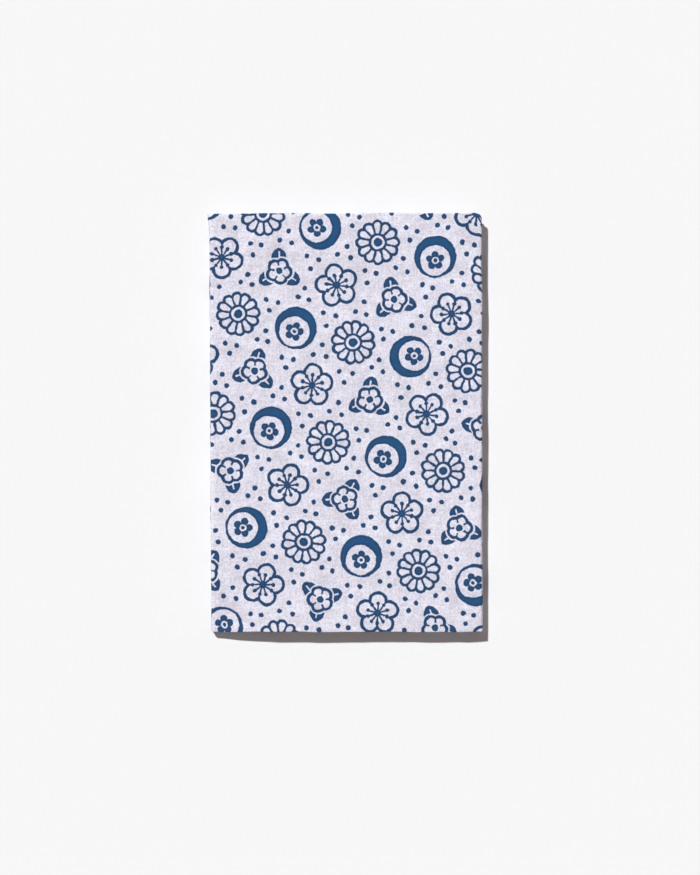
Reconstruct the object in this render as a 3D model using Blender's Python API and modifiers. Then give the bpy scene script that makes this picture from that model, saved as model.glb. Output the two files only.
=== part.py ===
"""Folded tenugui: one cotton cloth, doubled across its width and then halved three times along its length.

+X is the spine, the fold that goes round every layer. +Y is the edge where the cloth is doubled,
-Y the open edge with the selvedges, and +Z is up. The origin lies under the middle of the folded
cloth, on the surface it rests on. Sizes are in metres.
"""

import math
from collections import namedtuple

import bmesh
import bpy
import numpy as np

MM = 0.001

# The cloth as cut, and as folded.
CLOTH_WIDTH = 345 * MM  # selvedge to selvedge
FOLDED_LENGTH = CLOTH_WIDTH / 2  # along Y, once doubled
FOLDED_WIDTH = 112.6 * MM  # along X, the widest layer
PLY = 0.4 * MM  # thickness of one ply
SLIT = 0.2 * MM  # between the two plies of a doubled layer
LAYER_GAP = 0.1 * MM  # between one doubled layer and the next
DOUBLED = 2 * PLY + SLIT
PITCH = DOUBLED + LAYER_GAP
SOFT_CORNER = 2.0 * MM  # largest radius with which a layer turns into a fold's upright part

# One row for each fold, in the order in which the cloth runs through them. A fold takes the cloth
# from one level to another, counted from 0 at the bottom, and inset is how far it lies in from
# the folded cloth's edge on its side, or beyond it where it is negative.
Fold = namedtuple("Fold", "side level_in level_out inset")
RIGHT, LEFT = 1, -1
FOLDS = (
    Fold(RIGHT, 0, 7, 0.0 * MM),
    Fold(LEFT, 7, 4, 0.0 * MM),
    Fold(RIGHT, 4, 3, 3.5 * MM),
    Fold(LEFT, 3, 2, -0.1 * MM),
    Fold(RIGHT, 2, 5, 2.3 * MM),
    Fold(LEFT, 5, 6, 1.2 * MM),
    Fold(RIGHT, 6, 1, 1.1 * MM),
)
FIRST_END_INSET = 0.3 * MM  # the cut end at level 0
LAST_END_INSET = 0.9 * MM  # the cut end at level 1

# How the folded stack has settled.
LEFT_SLANT = 1.15 * MM  # the left edge runs in by this much from +Y to -Y
RIGHT_SLANT = 0.33 * MM  # the spine runs out by this much from +Y to -Y
UNDER_SLANT = 0.7 * MM  # the lowest layer turns out past the top one at -X +Y, and in at -X -Y
FLAT_CORNER = 0.35  # share of its height that the stack loses at the corner -X -Y
FLAT_CORNER_REACH = 13.4 * MM
SPINE_RISE = 0.03  # share of its height that the stack gains at the spine
SPINE_RISE_REACH = 14.0 * MM

# Where the flat stretches are divided: distances in from the left edge and up from the open edge.
ACROSS = tuple(d * MM for d in (5.0, 8.5, 12.5, 18.0, 27.0, 60.0, 95.0))
ALONG = tuple(d * MM for d in (0.0, 4.0, 9.0, 15.0, 24.0, 60.0, 120.0))
QUARTER_STEPS = 3
DOUBLING_STEPS = 4

CLOTH_COLOUR = (0.73, 0.73, 0.85, 1.0)
CLOTH_ROUGHNESS = 0.9


def height_of(level):
    """Middle height of a doubled layer."""
    return DOUBLED / 2 + level * PITCH


def edge_x(side, inset):
    """Place of a fold's outermost middle line, or of a cut end, on one side."""
    return side * (FOLDED_WIDTH / 2 - inset)


def turn(fold):
    """One fold as (x, z, heading) stations: a quarter arc, an upright line and a quarter arc."""
    z_in, z_out = height_of(fold.level_in), height_of(fold.level_out)
    up = math.copysign(1, z_out - z_in)
    radius = min(SOFT_CORNER, abs(z_out - z_in) / 2)
    centre = edge_x(fold.side, fold.inset + DOUBLED / 2) - fold.side * radius
    upright = abs(z_out - z_in) > 2 * radius + 1e-9
    stations = []
    for quarter, z_centre in ((0, z_in + up * radius), (1, z_out - up * radius)):
        first = 0 if quarter == 0 or upright else 1
        for step in range(first, QUARTER_STEPS + 1):
            angle = math.radians(90 * (quarter + step / QUARTER_STEPS))
            x = centre + fold.side * radius * math.sin(angle)
            z = z_centre - up * radius * math.cos(angle)
            stations.append((x, z, (fold.side * math.cos(angle), up * math.sin(angle))))
    return stations


def run(x_from, x_to, z):
    """The stations of a straight layer between two folds, its ends left out."""
    inner = [distance - FOLDED_WIDTH / 2 for distance in ACROSS]
    inner = [x for x in inner if min(x_from, x_to) + MM < x < max(x_from, x_to) - MM]
    heading = (math.copysign(1, x_to - x_from), 0.0)
    return [(x, z, heading) for x in sorted(inner, reverse=x_to < x_from)]


def lap_path():
    """The middle line of the doubled cloth through all its layers, as (x, z, heading) stations."""
    stations = [(edge_x(LEFT, FIRST_END_INSET), height_of(0), (1.0, 0.0))]
    for fold in FOLDS:
        corner = turn(fold)
        stations += run(stations[-1][0], corner[0][0], corner[0][1])
        stations += corner
    end = edge_x(LEFT, LAST_END_INSET)
    z_end = stations[-1][1]
    stations += run(stations[-1][0], end, z_end)
    stations.append((end, z_end, (-1.0, 0.0)))
    return stations


def doubling_section():
    """The doubled cloth in section, as (outward, y): a flat ply, a half turn at +Y and a ply back."""
    radius = (PLY + SLIT) / 2
    y_turn = FOLDED_LENGTH / 2 - PLY / 2 - radius
    flat = [distance - FOLDED_LENGTH / 2 for distance in ALONG]
    outer = [(radius, y) for y in flat]
    half_turn = []
    for step in range(DOUBLING_STEPS + 1):
        angle = math.pi * step / DOUBLING_STEPS
        half_turn.append((radius * math.cos(angle), y_turn + radius * math.sin(angle)))
    return outer + half_turn + [(-radius, y) for y in reversed(flat)]


def fold_up(flat_sheet, path, section):
    """Moves each point of a flat grid to its place in the folded cloth."""
    rows, columns = len(path) - 1, len(section) - 1
    for vertex in flat_sheet.verts:
        x, z, heading = path[round((vertex.co.x + 0.5) * rows)]
        outward, y = section[round((vertex.co.y + 0.5) * columns)]
        vertex.co = (x + outward * heading[1], y, z - outward * heading[0])


def middle_surface():
    """The cloth's middle surface: a flat grid with a row for each station, folded up."""
    path, section = lap_path(), doubling_section()
    sheet = bmesh.new()
    bmesh.ops.create_grid(sheet, x_segments=len(path) - 1, y_segments=len(section) - 1, size=0.5)
    fold_up(sheet, path, section)
    mesh = bpy.data.meshes.new("middle_surface")
    sheet.to_mesh(mesh)
    sheet.free()
    return mesh


def thickened(surface):
    """A closed mesh with the thickness of one ply on an open surface."""
    draft = bpy.data.objects.new("draft", surface)
    bpy.context.scene.collection.objects.link(draft)
    shell = draft.modifiers.new("ply", "SOLIDIFY")
    shell.thickness = PLY
    shell.offset = 0
    shell.use_even_offset = True
    shell.use_quality_normals = True
    graph = bpy.context.evaluated_depsgraph_get()
    mesh = bpy.data.meshes.new_from_object(draft.evaluated_get(graph))
    bpy.data.objects.remove(draft)
    return mesh


def split_alike(mesh):
    """Splits each four-sided face along its diagonal towards +X +Y, so that layers crease alike."""
    solid = bmesh.new()
    solid.from_mesh(mesh)
    for face in list(solid.faces):
        a, b, c, d = face.verts
        across = c.co - a.co
        ends = (a, c) if across.x * across.y > 0 else (b, d)
        bmesh.utils.face_split(face, *ends)
    solid.to_mesh(mesh)
    solid.free()


def settle(points):
    """Slants the stack's sides and presses its corner -X -Y flatter. All heights at a place scale
    alike, so the layers keep their order and the underside stays flat."""
    x, y, z = points.T
    across = x / FOLDED_WIDTH + 0.5
    along = 0.5 - y / FOLDED_LENGTH
    top_height = height_of(7) + DOUBLED / 2
    slant = (1 - across) * LEFT_SLANT + across * RIGHT_SLANT
    under = UNDER_SLANT * (1 - z / top_height) * (along - 0.5)
    from_corner = np.hypot(x + FOLDED_WIDTH / 2, y + FOLDED_LENGTH / 2)
    from_spine = FOLDED_WIDTH / 2 - x
    scale = 1 - FLAT_CORNER * np.exp(-((from_corner / FLAT_CORNER_REACH) ** 2))
    scale += SPINE_RISE * np.exp(-((from_spine / SPINE_RISE_REACH) ** 2))
    settled = np.stack([x + slant * along + under, y, z * scale], axis=1)
    low, high = settled.min(axis=0), settled.max(axis=0)
    return settled - [(low[0] + high[0]) / 2, (low[1] + high[1]) / 2, low[2]]


def cloth_material():
    material = bpy.data.materials.new("printed_cotton")
    material.use_nodes = True
    shader = material.node_tree.nodes["Principled BSDF"]
    shader.inputs["Base Color"].default_value = CLOTH_COLOUR
    shader.inputs["Roughness"].default_value = CLOTH_ROUGHNESS
    shader.inputs["Metallic"].default_value = 0.0
    return material


def make_towel_cloth(collection):
    mesh = thickened(middle_surface())
    split_alike(mesh)
    points = np.empty(3 * len(mesh.vertices), np.float32)
    mesh.vertices.foreach_get("co", points)
    settled = settle(points.reshape(-1, 3).astype(np.float64))
    mesh.vertices.foreach_set("co", settled.astype(np.float32).ravel())
    mesh.name = "towel_cloth"
    mesh.materials.append(cloth_material())
    towel = bpy.data.objects.new("towel_cloth", mesh)
    collection.objects.link(towel)
    return towel


def main():
    for item in list(bpy.data.objects):
        bpy.data.objects.remove(item)
    collection = bpy.data.collections.new("tenugui_towel")
    bpy.context.scene.collection.children.link(collection)
    make_towel_cloth(collection)


main()
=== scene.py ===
"""Looks of a folded tenugui: printed cotton cloth, the pale surface under it, the light and the camera.

The frame is the CAD part's: +X is the spine, +Y the edge where the cloth is doubled, -Y the open edge
with the selvedges, +Z is up, and the origin lies under the middle. Sizes are in metres.
"""

import math
from collections import namedtuple

import bpy
import numpy as np
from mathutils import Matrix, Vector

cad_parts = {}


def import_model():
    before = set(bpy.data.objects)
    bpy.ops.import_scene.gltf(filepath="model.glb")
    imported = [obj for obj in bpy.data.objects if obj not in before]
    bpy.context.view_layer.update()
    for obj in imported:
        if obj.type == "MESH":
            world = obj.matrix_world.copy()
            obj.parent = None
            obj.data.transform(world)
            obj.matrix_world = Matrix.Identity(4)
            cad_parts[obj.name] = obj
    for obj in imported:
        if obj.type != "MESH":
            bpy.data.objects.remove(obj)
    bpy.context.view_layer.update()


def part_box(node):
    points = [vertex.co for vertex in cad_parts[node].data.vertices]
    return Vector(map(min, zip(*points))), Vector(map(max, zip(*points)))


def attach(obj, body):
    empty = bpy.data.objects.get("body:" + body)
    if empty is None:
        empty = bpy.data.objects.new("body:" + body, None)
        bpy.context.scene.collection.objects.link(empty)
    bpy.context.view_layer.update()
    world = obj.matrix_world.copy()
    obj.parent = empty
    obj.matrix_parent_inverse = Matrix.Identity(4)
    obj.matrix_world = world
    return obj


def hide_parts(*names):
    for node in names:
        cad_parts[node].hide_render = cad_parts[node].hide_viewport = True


MM = 0.001

# ---------------------------------------------------------------- the cloth, as cut and as folded

CLOTH_WIDTH = 345 * MM  # selvedge to selvedge
FOLDED_LENGTH = CLOTH_WIDTH / 2  # along Y, once doubled
FOLDED_WIDTH = 112.6 * MM  # along X, the widest layer
PLY = 0.32 * MM  # thickness of the cotton
PLY_PITCH = 0.6 * MM  # between the middles of a doubled layer's two plies
LAYER_PITCH = 1.1 * MM  # between the middles of two doubled layers
HALF_LAYER = (PLY_PITCH + PLY) / 2

# One row for each fold, in the order in which the cloth runs through them. A fold takes the cloth
# from one level to another, counted from 0 at the bottom. inset is how far it lies in from the folded
# cloth's edge on its side, and steps is how finely its round is divided.
Fold = namedtuple("Fold", "side level_in level_out inset steps")
RIGHT, LEFT = 1, -1
FOLDS = (
    Fold(RIGHT, 0, 7, 0.1 * MM, 30),
    Fold(LEFT, 7, 4, 0.0 * MM, 16),
    Fold(RIGHT, 4, 3, 3.6 * MM, 9),
    Fold(LEFT, 3, 2, -0.1 * MM, 9),
    Fold(RIGHT, 2, 5, 2.4 * MM, 13),
    Fold(LEFT, 5, 6, 1.2 * MM, 9),
    Fold(RIGHT, 6, 1, 1.2 * MM, 17),
)
FIRST_END_INSET = 0.3 * MM  # the cut end at level 0
LAST_END_INSET = 0.9 * MM  # the cut end at level 1
TOP_LEVEL = 7
STACK = HALF_LAYER * 2 + TOP_LEVEL * LAYER_PITCH

# How a tall fold rounds off: how deep it bulges, and the power of its superellipse.
SOFT_DEPTH = 0.8 * MM
DEEPER_BY = 0.08  # of its half height
POWER_RISE = 0.45  # added to a power of 2, for each mm of half height past the smallest fold's

# How the layers lie apart along the edges of the cloth.
DRIFT = 0.18 * MM  # each layer's doubled edge and selvedges stray this far along Y
DRIFT_REACHES = (83 * MM, 31 * MM)  # length of cloth over which the two waves of that go one radian
DRAWN_IN = 0.0045  # share of its length by which a layer under the top one is shorter
UNDER_TOP = 0.9 * LAYER_PITCH  # both grow with the depth under the top layer, over about this much
SHORT_PLY = 0.45 * MM  # the inner ply's selvedge stops short of the outer ply's by about this much
SHORT_PLY_REACH = 57 * MM  # length of cloth over which the wave of that goes one radian

# How the stack has settled: as the CAD solid has, to within a millimetre, or 2.5 mm at the corner +X +Y.
LEFT_SLANT = 0.5 * MM  # the left edge runs in by this much from +Y to -Y
RIGHT_SLANT = 0.17 * MM  # the spine runs out by this much from +Y to -Y
UNDER_SLANT = 0.7 * MM  # the lowest layer turns out past the top one at -X +Y, and in at -X -Y
FLAT_CORNER = 0.37  # share of its height that the stack loses at the corner -X -Y
FLAT_CORNER_REACH = 14.2 * MM
SPINE_SINK = 0.01  # share of its height that the stack loses at the spine's -Y end
SPINE_LIFT = 0.10  # and how much more of it the stack has at the spine's +Y end than there
SPINE_REACH = 14.0 * MM
SPINE_DROP = 0.07  # share of its height that it loses, besides, right at the corner +X -Y
SPINE_DROP_REACH = 4.5 * MM
SPINE_LEAN = 0.9 * MM  # the spine stands in by this much at its foot
SPINE_LEAN_POWER = 6  # of the place across, so that only the spine leans
EDGE_SKEW = 0.3 * MM  # the doubled edge runs out by this much from -X to +X
PROUD_CORNER = 0.9 * MM  # the corner -X +Y sticks out by this much
PROUD_CORNER_REACH = 5.0 * MM
ROUND_CORNER = 1.3 * MM  # the doubled edge draws in by this much where it meets the spine
ROUND_CORNER_REACH = 1.7 * MM
TUCKED_CORNER = 1.2 * MM  # and the lowest layer's by this much more
TUCKED_CORNER_REACH = 8.0 * MM

# Soft waves of the layers. Each is a cosine of this height, with crests this far apart that lie
# across the direction given, in degrees from +X. A height in STACK_SWELL is a share of the stack's.
Wave = namedtuple("Wave", "direction length height phase")
LOOSE_GAPS = (
    Wave(20, 74 * MM, 0.12 * MM, 0.4),
    Wave(98, 52 * MM, 0.11 * MM, 2.1),
    Wave(151, 39 * MM, 0.08 * MM, 4.4),
)
STACK_SWELL = (
    Wave(35, 66 * MM, 0.010, 1.0),
    Wave(118, 47 * MM, 0.008, 3.3),
    Wave(80, 31 * MM, 0.005, 5.2),
)
PUCKERS = (
    Wave(12, 15.5 * MM, 0.060 * MM, 0.6),
    Wave(47, 11.0 * MM, 0.045 * MM, 2.9),
    Wave(85, 13.2 * MM, 0.050 * MM, 5.1),
    Wave(121, 9.1 * MM, 0.036 * MM, 1.7),
    Wave(158, 17.8 * MM, 0.062 * MM, 3.8),
    Wave(68, 7.3 * MM, 0.026 * MM, 0.2),
    Wave(139, 6.4 * MM, 0.021 * MM, 4.6),
)
EDGE_WAVES = (
    Wave(90, 61 * MM, 0.09 * MM, 0.9),
    Wave(90, 27 * MM, 0.07 * MM, 3.7),
    Wave(90, 12 * MM, 0.04 * MM, 2.2),
)
# A layer's edges waver out of step with those below it, by this many times its height.
SIDE_STAGGER, END_STAGGER = 9, 11
END_CROWDING = 1.4  # the waves along the doubled edge and the selvedges are this much shorter

# Soft ridges, or troughs where height is negative. Each runs through a point of the folded cloth,
# along a direction in degrees from +X. Swells lift the whole stack, creases only the top layer.
Crease = namedtuple("Crease", "x y direction length width height")
CREASES = (
    Crease(-39 * MM, -70 * MM, 12, 16 * MM, 3.0 * MM, -0.16 * MM),
    Crease(-18 * MM, -53 * MM, 48, 14 * MM, 2.8 * MM, -0.14 * MM),
    Crease(13 * MM, -54 * MM, -22, 13 * MM, 3.2 * MM, -0.17 * MM),
    Crease(38 * MM, -57 * MM, 62, 12 * MM, 2.6 * MM, -0.13 * MM),
    Crease(3 * MM, -78 * MM, 8, 18 * MM, 3.0 * MM, 0.12 * MM),
    Crease(-30 * MM, 66 * MM, 30, 20 * MM, 3.6 * MM, -0.13 * MM),
    Crease(27 * MM, 50 * MM, -35, 22 * MM, 3.4 * MM, -0.15 * MM),
    Crease(-8 * MM, 39 * MM, 5, 26 * MM, 3.8 * MM, 0.12 * MM),
    Crease(44 * MM, 74 * MM, 80, 14 * MM, 2.8 * MM, 0.11 * MM),
    Crease(-46 * MM, 20 * MM, 84, 30 * MM, 3.6 * MM, -0.12 * MM),
    Crease(20 * MM, -8 * MM, 22, 34 * MM, 4.4 * MM, -0.15 * MM),
    Crease(-20 * MM, -18 * MM, -14, 30 * MM, 4.0 * MM, 0.13 * MM),
)
SWELLS = (
    Crease(5 * MM, 57 * MM, 0, 110 * MM, 9.0 * MM, -0.34 * MM),
    Crease(-31 * MM, 76 * MM, 40, 22 * MM, 6.0 * MM, 0.26 * MM),
    Crease(-8 * MM, 77 * MM, 35, 18 * MM, 5.5 * MM, 0.22 * MM),
    Crease(39 * MM, 75 * MM, 50, 24 * MM, 6.0 * MM, 0.28 * MM),
    Crease(-5 * MM, -51 * MM, 5, 100 * MM, 8.0 * MM, 0.26 * MM),
    Crease(-10 * MM, -70 * MM, -5, 90 * MM, 7.0 * MM, -0.26 * MM),
    Crease(-39 * MM, -55 * MM, 30, 24 * MM, 6.0 * MM, 0.22 * MM),
    Crease(9 * MM, -49 * MM, 20, 26 * MM, 6.0 * MM, 0.22 * MM),
    Crease(48 * MM, -53 * MM, 45, 22 * MM, 6.0 * MM, 0.24 * MM),
    Crease(-26 * MM, 22 * MM, -28, 52 * MM, 9.0 * MM, 0.24 * MM),
    Crease(24 * MM, 4 * MM, 20, 46 * MM, 8.5 * MM, -0.24 * MM),
    Crease(-12 * MM, -24 * MM, 62, 36 * MM, 8.0 * MM, 0.20 * MM),
)
CREASE_BEND = 0.12  # how much a ridge's line curves
CREASE_FADE = 0.7 * MM  # the creases reach this far down into the stack

# How finely the cloth is divided.
TOP_ROWS = 66
UNDERSIDE_ROWS = 24
HIDDEN_ROWS = 18
OUTER_COLUMNS = 104
INNER_COLUMNS = 44
DOUBLING_COLUMNS = 9
# How strongly rows and columns crowd towards the ends of their stretch, from 0 to 1.
TOP_CROWDING, HIDDEN_CROWDING = 0.35, 0.9
OUTER_CROWDING, INNER_CROWDING = 0.3, 0.8
SUPPORT = 0.2 * MM  # a row this close to an edge keeps its shading crisp
RIM_BULGE = 0.8  # how far a selvedge's rim stands out, as a share of half a ply

# How much of the baked picture a stretch of cloth gets for its size: of the picture's width along the
# laps, and of its height round the doubled section. Only the ratios within a row count.
ROOM_TOP, ROOM_FOLD, ROOM_UNDERSIDE, ROOM_HIDDEN = 4.8, 3.6, 1.5, 0.36
ROOM_RIGHT_SIDE, ROOM_TUCKED, ROOM_WRONG_SIDE, ROOM_RIM = 3.6, 0.7, 0.45, 12.0
BAKE_MARGIN = 0.006  # share of the picture left free round the cloth
BAKE_END = 0.004  # width of the strip that holds a cut end


def level_height(level):
    """Middle height of a doubled layer."""
    return HALF_LAYER + level * LAYER_PITCH


def spread(start, stop, count, crowding):
    """Places from start to stop that crowd towards both: the sine of an even spread of angles."""
    angles = np.linspace(-1, 1, count) * crowding * math.pi / 2
    return (start + stop) / 2 + (stop - start) / 2 * np.sin(angles) / math.sin(crowding * math.pi / 2)


def turn(fold):
    """Middle line of one fold: half a superellipse, |x / depth|^p + |z / rise|^p = 1, standing on its
    side between two levels, with its outward normal, the gradient of that sum."""
    z_in, z_out = level_height(fold.level_in), level_height(fold.level_out)
    rise = (z_out - z_in) / 2
    depth = min(abs(rise), SOFT_DEPTH + DEEPER_BY * abs(rise))
    power = 2 + POWER_RISE * (abs(rise) - LAYER_PITCH / 2) / MM
    angle = np.linspace(-math.pi / 2, math.pi / 2, fold.steps)
    c, s = np.abs(np.cos(angle)), np.sin(angle)
    c[[0, -1]] = 0
    tip = fold.side * (FOLDED_WIDTH / 2 - fold.inset - HALF_LAYER)
    x = tip + fold.side * depth * (c ** (2 / power) - 1)
    z = (z_in + z_out) / 2 + rise * np.sign(s) * np.abs(s) ** (2 / power)
    across = fold.side * c ** (2 - 2 / power) / depth
    up = np.sign(s) * np.abs(s) ** (2 - 2 / power) / rise
    way = fold.side * np.sign(rise) / np.hypot(across, up)
    return np.stack([x, z, across * way, up * way], axis=1)


def run(x_from, x_to, z, rows, crowding):
    """A straight layer between two folds, its ends left out, with its outward normal up or down."""
    x = spread(x_from, x_to, rows, crowding)[1:-1]
    up = -np.sign(x_to - x_from)
    return np.stack([x, np.full_like(x, z), np.zeros_like(x), np.full_like(x, up)], axis=1)


def lap_line():
    """The middle line of the doubled cloth through all its layers: stations of x, z and the outward
    normal's x and z, and the room that the bake gives each of them."""
    first = -(FOLDED_WIDTH / 2 - FIRST_END_INSET)
    last = -(FOLDED_WIDTH / 2 - LAST_END_INSET)
    down, up = (0.0, -1.0), (0.0, 1.0)
    z = level_height(FOLDS[0].level_in)
    pieces = [np.array([(first, z, *down), (first + SUPPORT, z, *down)])]
    room = [np.full(2, ROOM_UNDERSIDE)]
    for fold in FOLDS:
        corner = turn(fold)
        rows = {0: UNDERSIDE_ROWS, TOP_LEVEL: TOP_ROWS}.get(fold.level_in, HIDDEN_ROWS)
        share = {0: ROOM_UNDERSIDE, TOP_LEVEL: ROOM_TOP}.get(fold.level_in, ROOM_HIDDEN)
        crowding = TOP_CROWDING if fold.level_in == TOP_LEVEL else HIDDEN_CROWDING
        layer = run(pieces[-1][-1, 0], corner[0, 0], corner[0, 1], rows, crowding)
        corner_share = ROOM_FOLD if fold.inset <= 0 else ROOM_HIDDEN
        pieces += [layer, corner]
        room += [np.full(len(layer), share), np.full(len(corner), corner_share)]
    z = level_height(FOLDS[-1].level_out)
    layer = run(pieces[-1][-1, 0], last + SUPPORT, z, HIDDEN_ROWS, HIDDEN_CROWDING)
    pieces += [layer, np.array([(last + SUPPORT, z, *up), (last, z, *up)])]
    room += [np.full(len(layer) + 2, ROOM_HIDDEN)]
    return np.concatenate(pieces), np.concatenate(room)


def travelled(*places):
    """Distance along a line of points, from its first one."""
    steps = np.sqrt(sum(np.diff(p) ** 2 for p in places))
    return np.concatenate([[0], np.cumsum(steps)])


def doubled_section():
    """The doubled cloth's middle line in section: a flat ply at +outward, a half circle at +Y and a
    flat ply back, as outward, y and the outer skin's normal in the same two directions."""
    radius = PLY_PITCH / 2
    y_open, y_turn = -FOLDED_LENGTH / 2, FOLDED_LENGTH / 2 - PLY / 2 - radius
    outer = spread(y_open + SUPPORT, y_turn, OUTER_COLUMNS, OUTER_CROWDING)[:-1]
    inner = spread(y_turn, y_open + SUPPORT, INNER_COLUMNS, INNER_CROWDING)[1:]
    outer, inner = np.append(y_open, outer), np.append(inner, y_open)
    angle = np.linspace(0, math.pi, DOUBLING_COLUMNS)
    y = np.concatenate([outer, y_turn + radius * np.sin(angle), inner])
    face_out = np.concatenate([np.ones_like(outer), np.cos(angle), -np.ones_like(inner)])
    face_y = np.concatenate([np.zeros_like(outer), np.sin(angle), np.zeros_like(inner)])
    return radius * face_out, y, face_out, face_y


def section_ring():
    """The closed outline of the doubled cloth in section, once round: the right side from one
    selvedge to the other, a rounded rim, the wrong side back and a rounded rim. Each skin lies half
    a ply off the middle line along its normal. Returns a dict of arrays, one value for each point."""
    outward, y, face_out, face_y = doubled_section()
    width = travelled(outward, y)
    half = PLY / 2
    skin = [(outward + side * half * face_out, y + side * half * face_y) for side in (1, -1)]
    rim_y = -FOLDED_LENGTH / 2 - half * RIM_BULGE
    ring_out = np.concatenate([skin[0][0], [-PLY_PITCH / 2], skin[1][0][::-1], [PLY_PITCH / 2]])
    ring_y = np.concatenate([skin[0][1], [rim_y], skin[1][1][::-1], [rim_y]])
    ring_width = np.concatenate([width, [width[-1]], width[::-1], [0.0]])
    wrong = np.concatenate([np.zeros_like(width), [0.5], np.ones_like(width), [0.5]])
    right_room = np.where(width < CLOTH_WIDTH / 2 + PLY_PITCH, ROOM_RIGHT_SIDE, ROOM_TUCKED)
    wrong_room = np.full(len(width), ROOM_WRONG_SIDE)
    room = np.concatenate([right_room, [ROOM_RIM], wrong_room, [ROOM_RIM]])
    return {"out": ring_out, "y": ring_y, "width": ring_width, "wrong": wrong, "room": room}


def waves(x, y, table):
    """Sum of plane waves: height times the cosine of the distance along the wave's direction."""
    total = np.zeros(np.broadcast(x, y).shape)
    for wave in table:
        a = math.radians(wave.direction)
        along = x * math.cos(a) + y * math.sin(a)
        total = total + wave.height * np.cos(2 * math.pi * along / wave.length + wave.phase)
    return total


def bell(distance, reach):
    """A bell curve: 1 in the middle, e to the power of minus the square of distance over reach."""
    return np.exp(-((distance / reach) ** 2))


def ridges(x, y, table):
    """Sum of soft ridges: each is a bell curve across its line and a wider one along it."""
    total = np.zeros_like(x)
    for crease in table:
        a = math.radians(crease.direction)
        dx, dy = x - crease.x, y - crease.y
        along, aside = dx * math.cos(a) + dy * math.sin(a), dy * math.cos(a) - dx * math.sin(a)
        bend = aside - CREASE_BEND * along * np.sin(3 * along / crease.length)
        total += crease.height * np.exp(-((bend / crease.width) ** 2) - (2 * along / crease.length) ** 2)
    return total


def smooth_step(low, high, value):
    """0 at low and 1 at high, with the cubic 3 t^2 - 2 t^3 of the share t of the way between."""
    t = np.clip((value - low) / (high - low), 0, 1)
    return t * t * (3 - 2 * t)


def settle(x, y, z):
    """Puts the neat stack as it lies.

    Heights at a place are all multiplied alike: one, less bell curves of the distance from the flat
    corner and from the spine's -Y end, plus one that grows along the spine, plus plane waves. Before
    that the gaps between the layers open and close by plane waves times a sine of the height, which
    is zero at the bottom and at the top. After it the swells are added, in proportion to the height,
    and the creases and puckers, which fade from the top down.

    Sideways, both sides slant in a straight line, the folds' edges waver by plane waves, the spine
    leans by a power of the place across, and each corner sticks out or draws in by a bell curve.
    Every step keeps the layers in their order and the underside on the surface."""
    across = x / FOLDED_WIDTH + 0.5
    along = 0.5 - y / FOLDED_LENGTH
    height = z / STACK
    from_spine = FOLDED_WIDTH / 2 - x
    from_flat = np.hypot(x + FOLDED_WIDTH / 2, y + FOLDED_LENGTH / 2)
    from_heel = np.hypot(from_spine, y + FOLDED_LENGTH / 2)
    from_proud = np.hypot(x + FOLDED_WIDTH / 2, y - FOLDED_LENGTH / 2)

    scale = 1 - FLAT_CORNER * bell(from_flat, FLAT_CORNER_REACH)
    scale += (SPINE_LIFT * (1 - along) - SPINE_SINK) * bell(from_spine, SPINE_REACH)
    scale -= SPINE_DROP * bell(from_heel, SPINE_DROP_REACH)
    scale += waves(x, y, STACK_SWELL)
    gap = waves(x, y, LOOSE_GAPS) * np.sin(math.pi * height)
    gap += waves(y, x, LOOSE_GAPS) * 0.5 * np.sin(2 * math.pi * height)
    dent = (ridges(x, y, CREASES) + waves(x, y, PUCKERS)) * bell(np.maximum(STACK - z, 0), CREASE_FADE)
    dent += ridges(x, y, SWELLS) * height

    slant = ((1 - across) * LEFT_SLANT + across * RIGHT_SLANT) * along
    under = UNDER_SLANT * (1 - height) * (along - 0.5)
    edge = waves(0 * x, y + SIDE_STAGGER * z, EDGE_WAVES) * (np.abs(across - 0.5) * 2) ** 3
    lean = SPINE_LEAN * (height - 1) * np.clip(across, 0, 2) ** SPINE_LEAN_POWER
    lean -= PROUD_CORNER * bell(from_proud, PROUD_CORNER_REACH)
    corner = ROUND_CORNER * bell(from_spine, ROUND_CORNER_REACH)
    corner += TUCKED_CORNER * (1 - height) * bell(from_spine, TUCKED_CORNER_REACH)
    corner -= EDGE_SKEW * (across - 0.5)
    pull = waves(0 * y, END_CROWDING * x + END_STAGGER * z, EDGE_WAVES) * np.abs(2 * along - 1) ** 3
    pull -= corner * smooth_step(0.5, 0, along)
    return x + slant + under + edge + lean, y + pull, (z + gap) * scale + dent


def centred(points):
    """The points moved so that their box stands on z = 0 with its middle at the origin."""
    low, high = points.min(axis=0), points.max(axis=0)
    return points - [(low[0] + high[0]) / 2, (low[1] + high[1]) / 2, low[2]]


def ended(index, first):
    """Quads and two small triangles that close the cloth's cut end along one row of the ring, between
    the right side and the wrong side of each ply."""
    around = len(index)
    right = np.arange(around // 2 - 1)
    wrong = around - 2 - right
    quads = np.stack([right[:-1], wrong[:-1], wrong[1:], right[1:]], axis=-1)
    rims = np.array([(wrong[0], right[0], around - 1), (right[-1], wrong[-1], len(right))])
    way = 1 if first else -1
    return [index[face[:, ::way]] for face in (quads, rims)]


def bake_places(line_room, length, ring):
    """Where each row and each ring point goes in the baked picture: the running sum of its room times
    the distance to the next, scaled to fill the picture inside its margins."""
    rows = np.concatenate([[0], np.cumsum(line_room[:-1] * np.diff(length))])
    step = np.hypot(np.diff(ring["out"], append=ring["out"][0]), np.diff(ring["y"], append=ring["y"][0]))
    around = np.concatenate([[0], np.cumsum(ring["room"] * step)])
    inset = 2 * BAKE_MARGIN + BAKE_END
    return (
        inset + (1 - 2 * inset) * rows / rows[-1],
        BAKE_MARGIN + (1 - 2 * BAKE_MARGIN) * around / around[-1],
    )


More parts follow.
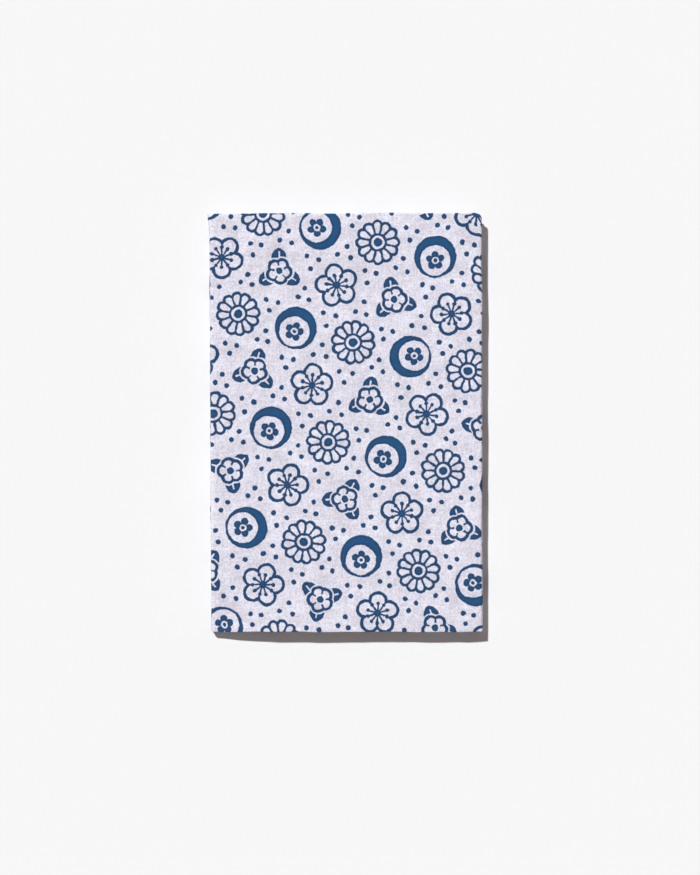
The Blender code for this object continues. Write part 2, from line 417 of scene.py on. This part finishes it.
def cloth_surface():
    """The whole cloth as one closed surface: the section ring carried along the lap line. A point is
    the line's station plus the ring's outward distance times the station's normal, at the ring's y.
    Returns the points, the faces, the corners' places in the baked picture, and for each point its
    place on the flat cloth and which side of the cloth it is on."""
    line, line_room = lap_line()
    ring = section_ring()
    x, z, normal_x, normal_z = line.T[:, :, None]
    length = travelled(line[:, 0], line[:, 1])
    rows, around = len(line), len(ring["y"])
    under_top = 1 - bell(STACK - HALF_LAYER - line[:, 1], UNDER_TOP)
    slow, quick = (length / reach for reach in DRIFT_REACHES)
    stray = DRIFT * under_top * (np.sin(slow) + 0.6 * np.sin(quick + 1.0))
    drawn = 1 - DRAWN_IN * under_top
    short = SHORT_PLY * (0.6 + 0.4 * np.sin(length / SHORT_PLY_REACH + 2.0))
    tucked = np.clip(ring["width"] / CLOTH_WIDTH * 2 - 1, 0, 1)
    y = ring["y"] * drawn[:, None] + stray[:, None] + short[:, None] * tucked
    points = np.stack(settle(x + ring["out"] * normal_x, y, z + ring["out"] * normal_z), axis=-1)
    points = centred(points.reshape(-1, 3))

    index = np.arange(rows * around).reshape(rows, around)
    beside = np.roll(index, -1, axis=1)
    sweep = np.stack([index[:-1], beside[:-1], beside[1:], index[1:]], axis=-1).reshape(-1, 4)
    first_end, last_end = ended(index[0], True), ended(index[-1], False)
    faces = [sweep, *first_end, *last_end]

    u, v = bake_places(line_room, length, ring)
    row, place = np.divmod(sweep, around)
    wraps = (place == 0) & (place.max(axis=1, keepdims=True) == around - 1)
    corners = [np.stack([u[row], np.where(wraps, v[-1], v[place])], axis=-1).reshape(-1, 2)]
    for faces_of_end, left in ((first_end, BAKE_MARGIN), (last_end, 1 - BAKE_MARGIN - BAKE_END)):
        for end_faces in faces_of_end:
            place = end_faces % around
            on_wrong = ring["wrong"][place]
            column = np.where(on_wrong > 0.9, around - 2 - place, place % (around - 1))
            corners.append(np.stack([left + BAKE_END * on_wrong, v[column]], axis=-1).reshape(-1, 2))
    flat = np.stack(np.broadcast_arrays(ring["width"], length[:, None]), axis=-1).reshape(-1, 2)
    return points, faces, np.concatenate(corners), flat, np.tile(ring["wrong"], rows)


def make_cloth(collection):
    """The printed cloth as one object, shaded smooth, with its flat places as the map "cloth". Returns
    it with the flat cloth's length and width."""
    points, faces, bake_corners, flat, wrong = cloth_surface()
    mesh = bpy.data.meshes.new("printed_cloth")
    mesh.from_pydata(points, [], [face for group in faces for face in group.tolist()])
    corner_points = np.concatenate([group.ravel() for group in faces])
    for name, corners in (("cloth", flat[corner_points]), ("OFBake", bake_corners)):
        mesh.uv_layers.new(name=name).uv.foreach_set("vector", corners.astype(np.float32).ravel())
    side = mesh.attributes.new("wrong_side", "FLOAT", "POINT")
    side.data.foreach_set("value", wrong.astype(np.float32))
    mesh.shade_smooth()
    mesh.update()
    cloth = bpy.data.objects.new("printed_cloth", mesh)
    collection.objects.link(cloth)
    return cloth, float(flat[:, 1].max()), float(flat[:, 0].max())


# ---------------------------------------------------------------- building shader nodes


class Bench:
    """Adds nodes to one tree and joins them. A value is a number, a tuple or another node's socket."""

    def __init__(self, tree):
        self.tree = tree

    def node(self, kind, *values, **settings):
        made = self.tree.nodes.new("ShaderNode" + kind)
        for name, setting in settings.items():
            setattr(made, name, setting)
        for socket, value in zip(made.inputs, values):
            self.feed(socket, value)
        return made

    def feed(self, socket, value):
        if isinstance(value, bpy.types.NodeSocket):
            self.tree.links.new(value, socket)
        elif value is not None:
            socket.default_value = value

    def fed(self, node, values):
        """Feeds a node's inputs by name and gives back its outputs."""
        for name, value in values.items():
            self.feed(node.inputs[name], value)
        return node.outputs

    def math(self, operation, *values):
        return self.node("Math", *values, operation=operation).outputs[0]

    def add(self, a, b):
        return self.math("ADD", a, b)

    def less(self, a, b):
        return self.math("SUBTRACT", a, b)

    def times(self, a, b):
        return self.math("MULTIPLY", a, b)

    def least(self, first, *others):
        for other in others:
            first = self.math("MINIMUM", first, other)
        return first

    def most(self, first, *others):
        for other in others:
            first = self.math("MAXIMUM", first, other)
        return first

    def length(self, a, b):
        squares = self.math("MULTIPLY_ADD", a, a, self.times(b, b))
        return self.math("SQRT", squares)

    def ramp(self, value, low, high, start=0.0, stop=1.0):
        """start where value is low, stop where it is high, and a smooth step between."""
        made = self.node("MapRange", interpolation_type="SMOOTHSTEP")
        ends = {"From Min": low, "From Max": high, "To Min": start, "To Max": stop}
        return self.fed(made, {"Value": value, **ends})["Result"]

    def noise(self, place, scale, detail=2.0, roughness=0.5):
        made = self.node("TexNoise", noise_dimensions="3D")
        fineness = {"Scale": scale, "Detail": detail, "Roughness": roughness}
        return self.fed(made, {"Vector": place, **fineness})["Fac"]

    def noise_vector(self, place, scale, size):
        """A soft random shift of up to about half of size, each way."""
        made = self.node("TexNoise", noise_dimensions="3D")
        colour = self.fed(made, {"Vector": place, "Scale": scale, "Detail": 1.5})["Color"]
        evenly = self.node("VectorMath", colour, (0.5, 0.5, 0.5), operation="SUBTRACT")
        return self.scaled(evenly.outputs[0], size)

    def scaled(self, vector, size):
        return self.fed(self.node("VectorMath", vector, operation="SCALE"), {"Scale": size})["Vector"]

    def random(self, a, b, seed):
        """A number from 0 to 1 for each pair of whole numbers."""
        place = self.node("CombineXYZ", a, b, seed).outputs[0]
        return self.node("TexWhiteNoise", place, noise_dimensions="3D").outputs["Value"]

    def blend(self, share, a, b):
        """The colour a, or b where share is 1."""
        made = self.node("Mix", data_type="RGBA")
        for name, given in (("Factor_Float", share), ("A_Color", a), ("B_Color", b)):
            self.feed(next(s for s in made.inputs if s.identifier == name), given)
        return next(s for s in made.outputs if s.identifier == "Result_Color")


def node_group(name, inputs, outputs, build):
    """A shader node group. inputs and outputs are tables of socket name to socket type, or to a type
    and its usual value. build takes a Bench and the inputs and returns the outputs' sockets."""
    tree = bpy.data.node_groups.new(name, "ShaderNodeTree")
    for label, told in inputs.items():
        kind, usual = told if isinstance(told, tuple) else (told, None)
        socket = tree.interface.new_socket(label, in_out="INPUT", socket_type="NodeSocket" + kind)
        if usual is not None:
            socket.default_value = usual
    for label, kind in outputs.items():
        tree.interface.new_socket(label, in_out="OUTPUT", socket_type="NodeSocket" + kind)
    entry, leave = tree.nodes.new("NodeGroupInput"), tree.nodes.new("NodeGroupOutput")
    bench = Bench(tree)
    made = build(bench, *[entry.outputs[label] for label in inputs])
    for socket, value in zip(leave.inputs, made if isinstance(made, tuple) else (made,)):
        bench.feed(socket, value)
    return tree


def placed(bench, group, **values):
    """A group as a node in a tree, with its inputs given by name, an underscore for each space."""
    named = {name.replace("_", " "): value for name, value in values.items()}
    return bench.fed(bench.node("Group", node_tree=group), named)


# ---------------------------------------------------------------- the print, in millimetres

COLUMN_STEP = 21.2  # from one column of motifs to the next
MOTIF_STEP = 24.4  # from one motif to the next in its column
DOTS_PER_STEP = 5
DOT_RADIUS = 1.05
DOT_STRAY = 0.45  # how far a dot may lie off its place, each way
DOT_CLEAR = 11.2  # from a motif's middle to the nearest dot's middle
LINE = 1.3  # width of a drawn line
INK_EDGE = 0.16  # over which the ink thins out, to each side of its edge
SOLID_FROM, SOLID_TO = 0.45, 1.2  # how far inside the ink a line's colour turns into a solid patch's
BLED = 1.5  # how far a little of the dye has bled into the cotton
WAVER, CREEP, PRESS = 0.85, 0.5, 0.55  # how far a line wavers and its edge wanders, and its width varies
WAVER_SCALE, CREEP_SCALE, PRESS_SCALE = 0.22, 0.95, 0.33  # how quickly, for each millimetre
ALL_ROUND = 9.0  # farther than any ink, which takes a dot away


def stagger(bench, x, y, column_step, step):
    """Columns of places, each set half a step down from the last. Returns a point's place from the
    middle of its cell, and the cell's column and row."""
    across = bench.math("DIVIDE", x, column_step)
    column = bench.math("FLOOR", across)
    along = bench.math("MULTIPLY_ADD", column, 0.5, bench.math("DIVIDE", y, step))
    row = bench.math("FLOOR", along)
    local_x = bench.times(bench.less(bench.less(across, column), 0.5), column_step)
    local_y = bench.times(bench.less(bench.less(along, row), 0.5), step)
    return local_x, local_y, column, row


def folded(bench, x, y, count, turned=0.0):
    """A point as it lies from the middle of its own petal: along the petal, aside, and out."""
    out = bench.length(x, y)
    angle = bench.math("ARCTAN2", y, x)
    swing = bench.math("WRAP", bench.add(angle, turned), math.pi / count, -math.pi / count)
    along = bench.times(out, bench.math("COSINE", swing))
    aside = bench.math("ABSOLUTE", bench.times(out, bench.math("SINE", swing)))
    return along, aside, out


def disc(bench, along, aside, middle, radius):
    """Distance to a disc's edge, negative inside."""
    return bench.less(bench.length(bench.less(along, middle), aside), radius)


def line_on(bench, distance, width=LINE):
    """Distance to a drawn line that follows an edge."""
    return bench.less(bench.math("ABSOLUTE", distance), width / 2)


def spoke(bench, along, aside, start, stop, width):
    """Distance to a line with round ends that runs outwards along a petal."""
    nearest = bench.math("MINIMUM", bench.math("MAXIMUM", along, start), stop)
    return bench.less(bench.length(bench.less(along, nearest), aside), width / 2)


def between_petals(bench, along, aside, count):
    """Distance to the line between one petal and the next."""
    half = math.pi / count
    return bench.less(bench.times(along, math.sin(half)), bench.times(aside, math.cos(half)))


def plum_blossom(bench, x, y):
    """Five round outlined petals, with ten stamens round a solid heart."""
    petal_middle, petal_radius, petal_foot = 5.15, 3.4, 3.9
    stamen_foot, stamen_end, stamen_width = 1.6, 3.5, 0.8
    tip_middle, tip_radius, heart_radius = 4.2, 0.82, 1.55
    along, aside, out = folded(bench, x, y, 5)
    petals = line_on(bench, disc(bench, along, aside, petal_middle, petal_radius))
    petals = bench.most(petals, bench.less(petal_foot, out))
    along, aside, out = folded(bench, x, y, 10)
    stamens = spoke(bench, along, aside, stamen_foot, stamen_end, stamen_width)
    tips = disc(bench, along, aside, tip_middle, tip_radius)
    return bench.least(petals, stamens, tips, bench.less(out, heart_radius))


def chrysanthemum(bench, x, y):
    """Twelve petals with round tips, a ring and a solid heart."""
    petals, tip_middle, tip_radius, tip_line = 12, 6.9, 1.85, 1.2
    side_foot, side_end, side_half = 3.5, 7.2, 0.5
    ring_radius, ring_line, heart_radius = 3.3, 1.1, 1.8
    along, aside, out = folded(bench, x, y, petals)
    tips = line_on(bench, disc(bench, along, aside, tip_middle, tip_radius), tip_line)
    tips = bench.most(tips, bench.less(tip_middle, along))
    sides = bench.less(between_petals(bench, along, aside, petals), side_half)
    sides = bench.most(sides, bench.less(along, side_end), bench.less(side_foot, out))
    ring = line_on(bench, bench.less(out, ring_radius), ring_line)
    return bench.least(tips, sides, ring, bench.less(out, heart_radius))


def camellia(bench, x, y):
    """A small flower of five petals on three solid leaves with a white vein. A leaf is where two discs
    overlap, whose middles lie off its line to each side."""
    petals, petal_middle, petal_radius = 5, 2.6, 2.45
    gap_foot, gap_end, gap_half, heart_radius = 2.2, 4.2, 0.4, 1.45
    leaves, leaf_turn, leaf_middle, leaf_radius, leaf_offset, leaf_clear = 3, 0.35, 5.6, 4.1, 1.0, 1.25
    vein_half, vein_end = 0.3, 7.9
    along, aside, out = folded(bench, x, y, petals)
    flower = disc(bench, along, aside, petal_middle, petal_radius)
    outline = bench.most(line_on(bench, flower), bench.less(petal_middle, out))
    gaps = bench.less(between_petals(bench, along, aside, petals), gap_half)
    gaps = bench.most(gaps, bench.less(out, gap_end), bench.less(gap_foot, out))
    along, aside, _ = folded(bench, x, y, leaves, leaf_turn)
    leaf = disc(bench, along, bench.add(aside, leaf_offset), leaf_middle, leaf_radius)
    leaf = bench.most(leaf, bench.less(leaf_clear, flower))
    vein = bench.most(bench.less(aside, vein_half), bench.less(along, vein_end))
    leaf = bench.most(leaf, bench.times(vein, -1.0))
    return bench.least(outline, gaps, bench.less(out, heart_radius), leaf)


def plum_and_moon(bench, x, y):
    """A solid crescent that thins to a line round the moon, and a small solid plum blossom in it."""
    moon_radius, hollow_radius, hollow_offset = 8.7, 6.2, 1.5
    blossom_turn, petal_middle, petal_radius, petal_foot, heart_radius = 0.6, 2.45, 1.5, 1.45, 0.75
    hollow_x = bench.less(x, hollow_offset)
    moon = bench.less(bench.length(x, y), moon_radius)
    hollow = bench.less(bench.length(hollow_x, y), hollow_radius)
    crescent = bench.most(moon, bench.times(hollow, -1.0))
    along, aside, out = folded(bench, hollow_x, y, 5, blossom_turn)
    petals = disc(bench, along, aside, petal_middle, petal_radius)
    petals = bench.most(petals, bench.less(petal_foot, out))
    return bench.least(crescent, petals, bench.less(out, heart_radius))


MOTIFS = (plum_blossom, chrysanthemum, camellia, plum_and_moon)


def build_motifs(bench, x, y):
    """Distance to the nearest motif's ink. Each cell turns its motif at random. No two of a kind are
    neighbours, because column plus twice the row counts off the kinds in fours."""
    local_x, local_y, column, row = stagger(bench, x, y, COLUMN_STEP, MOTIF_STEP)
    turned = bench.times(bench.random(column, row, 3.0), 2 * math.pi)
    cosine, sine = bench.math("COSINE", turned), bench.math("SINE", turned)
    own_x = bench.less(bench.times(local_x, cosine), bench.times(local_y, sine))
    own_y = bench.add(bench.times(local_x, sine), bench.times(local_y, cosine))
    kind = bench.math("FLOORED_MODULO", bench.math("MULTIPLY_ADD", row, 2.0, column), float(len(MOTIFS)))
    ink = 0.0
    for number, motif in enumerate(MOTIFS):
        chosen = bench.math("COMPARE", kind, float(number), 0.1)
        ink = bench.math("MULTIPLY_ADD", motif(bench, own_x, own_y), chosen, ink)
    return ink


def build_dots(bench, x, y):
    """Distance to the nearest dot's ink. Dots lie on a finer stagger, each a little off its place, and
    those whose middle would come too near a motif are left out."""
    column_step, step = COLUMN_STEP / DOTS_PER_STEP, MOTIF_STEP / DOTS_PER_STEP
    local_x, local_y, column, row = stagger(bench, x, y, column_step, step)
    off_x = bench.times(bench.less(bench.random(column, row, 7.0), 0.5), 2 * DOT_STRAY)
    off_y = bench.times(bench.less(bench.random(column, row, 11.0), 0.5), 2 * DOT_STRAY)
    from_x, from_y = bench.less(local_x, off_x), bench.less(local_y, off_y)
    dot_x, dot_y = bench.less(x, from_x), bench.less(y, from_y)
    motif_x, motif_y, _, _ = stagger(bench, dot_x, dot_y, COLUMN_STEP, MOTIF_STEP)
    crowded = bench.math("LESS_THAN", bench.length(motif_x, motif_y), DOT_CLEAR)
    dot = bench.less(bench.length(from_x, from_y), DOT_RADIUS)
    return bench.add(dot, bench.times(crowded, ALL_ROUND))


def build_print(bench, place, turned, creep):
    """The print at a place on the flat cloth in millimetres: how much ink there is, how far the place
    is inside a solid patch, and how much dye has bled into the cotton beside the ink. Lines waver as
    a hand draws them, and the ink's edge wanders where the dye has crept along the yarns."""
    at = bench.node("VectorRotate", place, None, None, turned, rotation_type="Z_AXIS").outputs[0]
    for scale, size in ((WAVER_SCALE, WAVER), (CREEP_SCALE, creep)):
        shift = bench.noise_vector(place, scale, size)
        at = bench.node("VectorMath", at, shift, operation="ADD").outputs[0]
    x, y, _ = bench.node("SeparateXYZ", at).outputs
    press = bench.times(bench.less(bench.noise(place, PRESS_SCALE), 0.5), PRESS)
    edge = bench.add(bench.least(build_motifs(bench, x, y), build_dots(bench, x, y)), press)
    ink = bench.ramp(edge, -INK_EDGE, INK_EDGE, 1.0, 0.0)
    solid = bench.ramp(edge, -SOLID_TO, -SOLID_FROM, 1.0, 0.0)
    return ink, solid, bench.ramp(edge, 0.0, BLED, 1.0, 0.0)


# ---------------------------------------------------------------- the weave, in millimetres

YARN_PITCH = 0.46  # from one yarn to the next
SLUB_RATE = 0.09  # how quickly a yarn's thickness changes along it, for each millimetre
YARNS_APART = 3.7  # how far apart two neighbouring yarns' thickness is looked up


def yarns(bench, across, along, pitch, seed):
    """One set of parallel yarns: their round height from 0 to 1, a half wave of the sine across each,
    then how thick each is along its way, and its number."""
    lane = bench.math("DIVIDE", across, pitch)
    number = bench.math("FLOOR", lane)
    round_top = bench.math("SINE", bench.times(bench.less(lane, number), math.pi))
    looked_up, way = bench.times(number, YARNS_APART), bench.times(along, SLUB_RATE)
    place = bench.node("CombineXYZ", looked_up, way, seed).outputs[0]
    return round_top, bench.noise(place, 1.0, 2.0, 0.6), number


def build_weave(bench, place, pitch):
    """Plain weave: warp and weft yarns pass over each other turn by turn, so the one on top is chosen
    by whether the sum of the two yarns' numbers is odd. Slubs make a yarn stand higher and look
    lighter for a while. Gives the height from 0 to 1, the tone, 0.5 on an even yarn, and the grain, a
    random number for each crossing."""
    x, y, _ = bench.node("SeparateXYZ", place).outputs
    warp, warp_slub, warp_number = yarns(bench, x, y, pitch, 5.0)
    weft, weft_slub, weft_number = yarns(bench, y, x, pitch, 9.0)
    over = bench.math("FLOORED_MODULO", bench.add(warp_number, weft_number), 2.0)
    top = bench.add(bench.times(warp, over), bench.times(weft, bench.less(1.0, over)))
    slub = bench.add(bench.times(warp_slub, over), bench.times(weft_slub, bench.less(1.0, over)))
    height = bench.times(top, bench.add(0.6, bench.times(slub, 0.8)))
    tone = bench.times(bench.add(warp_slub, weft_slub), 0.5)
    return height, tone, bench.random(warp_number, weft_number, 13.0)


# ---------------------------------------------------------------- materials

COTTON = (0.842, 0.799, 0.887, 1.0)  # the lightest yarns
COTTON_COOL = (0.797, 0.809, 0.916, 1.0)  # patches where the white is colder
COTTON_BLED = (0.750, 0.813, 0.965, 1.0)  # with a little dye in it, close to the ink
COTTON_SHADE = (0.565, 0.545, 0.615, 1.0)  # the darkest yarns
INK_SOLID = (0.004, 0.070, 0.186, 1.0)
INK_LINE = (0.005, 0.046, 0.132, 1.0)
LATTICE_TURN = math.radians(14)  # the print's columns stand this far off the cloth's length
FLOOR_TONE = 0.78

# How far the ground goes towards COTTON_SHADE, by cloudy patches, by thin yarns and by crossings.
CLOUDY, THIN_YARN, CROSSING = 0.36, 0.34, 0.58  # the most that each of them adds
CLOUD_SCALE, COOL_SCALE, PUCKER_SCALE = 0.15, 0.55, 0.36  # how quickly, for each millimetre
BLED_SHARE = 0.45  # how far the cotton beside the ink goes towards COTTON_BLED
INK_WORN = 0.03  # share of bare cotton on the crowns of the inked yarns
WRONG_SIDE_INK = 0.72  # share of the ink that comes through to the wrong side
YARN_RELIEF, PUCKER_RELIEF = 0.06, 0.55  # in millimetres


def cotton_ground(bench, place, cloth, ink):
    """Colour of the cotton without its print: white to cold white, then towards the shade by the sum
    of three shares."""
    cloudy = bench.noise(place, CLOUD_SCALE, 3.0, 0.55)
    shade = bench.ramp(cloudy, 0.3, 0.7, 0.0, CLOUDY)
    shade = bench.add(shade, bench.ramp(cloth["Tone"], 0.38, 0.62, THIN_YARN, 0.0))
    shade = bench.add(shade, bench.ramp(cloth["Grain"], 0.25, 1.0, 0.0, CROSSING))
    cool = bench.ramp(bench.noise(place, COOL_SCALE, 2.0), 0.38, 0.62)
    cotton = bench.blend(cool, COTTON, COTTON_COOL)
    cotton = bench.blend(bench.times(ink["Bled"], BLED_SHARE), cotton, COTTON_BLED)
    return bench.blend(shade, cotton, COTTON_SHADE)


def cotton_material():
    """Indigo print on cool white cotton, from the cloth's own flat places."""
    material = bpy.data.materials.new("indigo_printed_cotton")
    material.use_nodes = True
    bench = Bench(material.node_tree)
    shader = material.node_tree.nodes["Principled BSDF"]

    flat = bench.node("UVMap", uv_map="cloth").outputs["UV"]
    place = bench.scaled(flat, 1 / MM)
    wrong = bench.node("Attribute", attribute_name="wrong_side").outputs["Fac"]

    weave_inputs = {"Place": "Vector", "Yarn Pitch": ("Float", YARN_PITCH)}
    weave_outputs = {"Height": "Float", "Tone": "Float", "Grain": "Float"}
    weave = node_group("plain_weave", weave_inputs, weave_outputs, build_weave)
    print_inputs = {"Place": "Vector", "Turned": ("Float", 0.0), "Creep": ("Float", CREEP)}
    print_outputs = {"Ink": "Float", "Solid": "Float", "Bled": "Float"}
    flower_print = node_group("flower_print", print_inputs, print_outputs, build_print)
    cloth = placed(bench, weave, Place=place, Yarn_Pitch=YARN_PITCH)
    ink = placed(bench, flower_print, Place=place, Turned=LATTICE_TURN, Creep=CREEP)

    ground = cotton_ground(bench, place, cloth, ink)
    dye = bench.blend(ink["Solid"], INK_LINE, INK_SOLID)
    dye = bench.blend(bench.ramp(cloth["Height"], 0.2, 1.0, 0.0, INK_WORN), dye, ground)
    amount = bench.times(ink["Ink"], bench.ramp(wrong, 0.4, 1.0, 1.0, WRONG_SIDE_INK))
    bench.feed(shader.inputs["Base Color"], bench.blend(amount, ground, dye))
    bench.feed(shader.inputs["Roughness"], bench.ramp(cloth["Height"], 0.0, 1.0, 0.95, 0.84))
    shader.inputs["Sheen Weight"].default_value = 0.06
    shader.inputs["Sheen Roughness"].default_value = 0.5
    shader.inputs["Specular IOR Level"].default_value = 0.15

    pucker = bench.noise(place, PUCKER_SCALE, 2.0, 0.5)
    relief = bench.add(bench.times(cloth["Height"], YARN_RELIEF), bench.times(pucker, PUCKER_RELIEF))
    bump = bench.fed(bench.node("Bump"), {"Distance": MM, "Strength": 1.0, "Height": relief})
    bench.feed(shader.inputs["Normal"], bump["Normal"])
    return material


def floor_material():
    """Matt, pale paper."""
    material = bpy.data.materials.new("pale_paper")
    material.use_nodes = True
    shader = material.node_tree.nodes["Principled BSDF"]
    shader.inputs["Base Color"].default_value = (FLOOR_TONE, FLOOR_TONE, FLOOR_TONE, 1.0)
    shader.inputs["Roughness"].default_value = 1.0
    shader.inputs["Specular IOR Level"].default_value = 0.0
    return material


# ---------------------------------------------------------------- the studio

FLOOR_HALF = 12.0
FLOOR_DROP = 0.05 * MM  # below the cloth, so that the two don't share a plane
SUN_ELEVATION = math.radians(56.6)
SUN_SLOPE = 1.6  # how far its shadows fall towards -Y for each step towards +X
SUN_SPREAD = math.radians(2.6)
SUN_STRENGTH = 3.76
SUN_COLOUR = (0.958, 0.986, 1.0)
SKY_STRENGTH = 0.236
SKY_COLOUR = (1.0, 0.85, 0.80, 1.0)
WALL_COLOUR = (0.93, 0.93, 0.93, 1.0)
WALL_TOP, CEILING = 0.06, 0.18  # the walls give way to the ceiling between these sines of elevation

FRAME_HEIGHT = 875
SCALE = 0.412 * MM  # of the top of the cloth, for each unit of the frame
LENS, SENSOR = 200.0, 36.0
LEFT_OF_MIDDLE = 5.0  # where the cloth's middle lies, in units of the frame
ABOVE_MIDDLE = 15.0


def make_floor(collection):
    """A plain square under the cloth, as a grid of two by two points."""
    side = np.array([-FLOOR_HALF, FLOOR_HALF])
    x, y = np.meshgrid(side, side)
    points = np.stack([x, y, np.full_like(x, -FLOOR_DROP)], axis=-1).reshape(-1, 3)
    mesh = bpy.data.meshes.new("floor")
    mesh.from_pydata(points, [], [(0, 1, 3, 2)])
    mesh.materials.append(floor_material())
    floor = bpy.data.objects.new("floor", mesh)
    collection.objects.link(floor)
    return floor


def make_sun(collection):
    """The key light: a far lamp at the upper left, broad enough to soften its shadows' edges."""
    lamp = bpy.data.lights.new("key_light", "SUN")
    lamp.energy = SUN_STRENGTH
    lamp.angle = SUN_SPREAD
    lamp.color = SUN_COLOUR
    sun = bpy.data.objects.new("key_light", lamp)
    sun.rotation_euler = (0, math.pi / 2 - SUN_ELEVATION, math.atan2(SUN_SLOPE, -1))
    collection.objects.link(sun)


def make_sky(scene):
    """Soft light from all round: dim overhead, bright in a low band like the walls of a white studio."""
    world = bpy.data.worlds.new("studio")
    scene.world = world
    world.use_nodes = True
    bench = Bench(world.node_tree)
    background = world.node_tree.nodes["Background"]
    _, _, up = bench.node("SeparateXYZ", bench.node("TexCoord").outputs["Generated"]).outputs
    overhead = tuple(SKY_STRENGTH * c for c in SKY_COLOUR[:3]) + (1.0,)
    colour = bench.blend(bench.ramp(up, WALL_TOP, CEILING), WALL_COLOUR, overhead)
    bench.feed(background.inputs["Color"], colour)
    background.inputs["Strength"].default_value = 1.0


def make_camera(scene, collection, low, high):
    """Looks straight down, with +Y up in the frame."""
    data = bpy.data.cameras.new("camera")
    data.lens = LENS
    data.sensor_width = SENSOR
    data.clip_start, data.clip_end = 0.01, 100
    camera = bpy.data.objects.new("camera", data)
    middle = [(a + b) / 2 for a, b in zip(low, high)]
    distance = FRAME_HEIGHT * SCALE * LENS / SENSOR
    camera.location = (
        middle[0] + LEFT_OF_MIDDLE * SCALE,
        middle[1] - ABOVE_MIDDLE * SCALE,
        high[2] + distance,
    )
    collection.objects.link(camera)
    scene.camera = camera


def main():
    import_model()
    scene = bpy.context.scene
    scene.view_settings.view_transform = "Standard"
    collection = scene.collection

    cloth, cloth_length, cloth_width = make_cloth(collection)
    cloth.data.materials.append(cotton_material())
    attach(cloth, "root")
    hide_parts("towel_cloth")

    floor = make_floor(collection)
    make_sun(collection)
    make_sky(scene)
    make_camera(scene, collection, *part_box("towel_cloth"))


main()
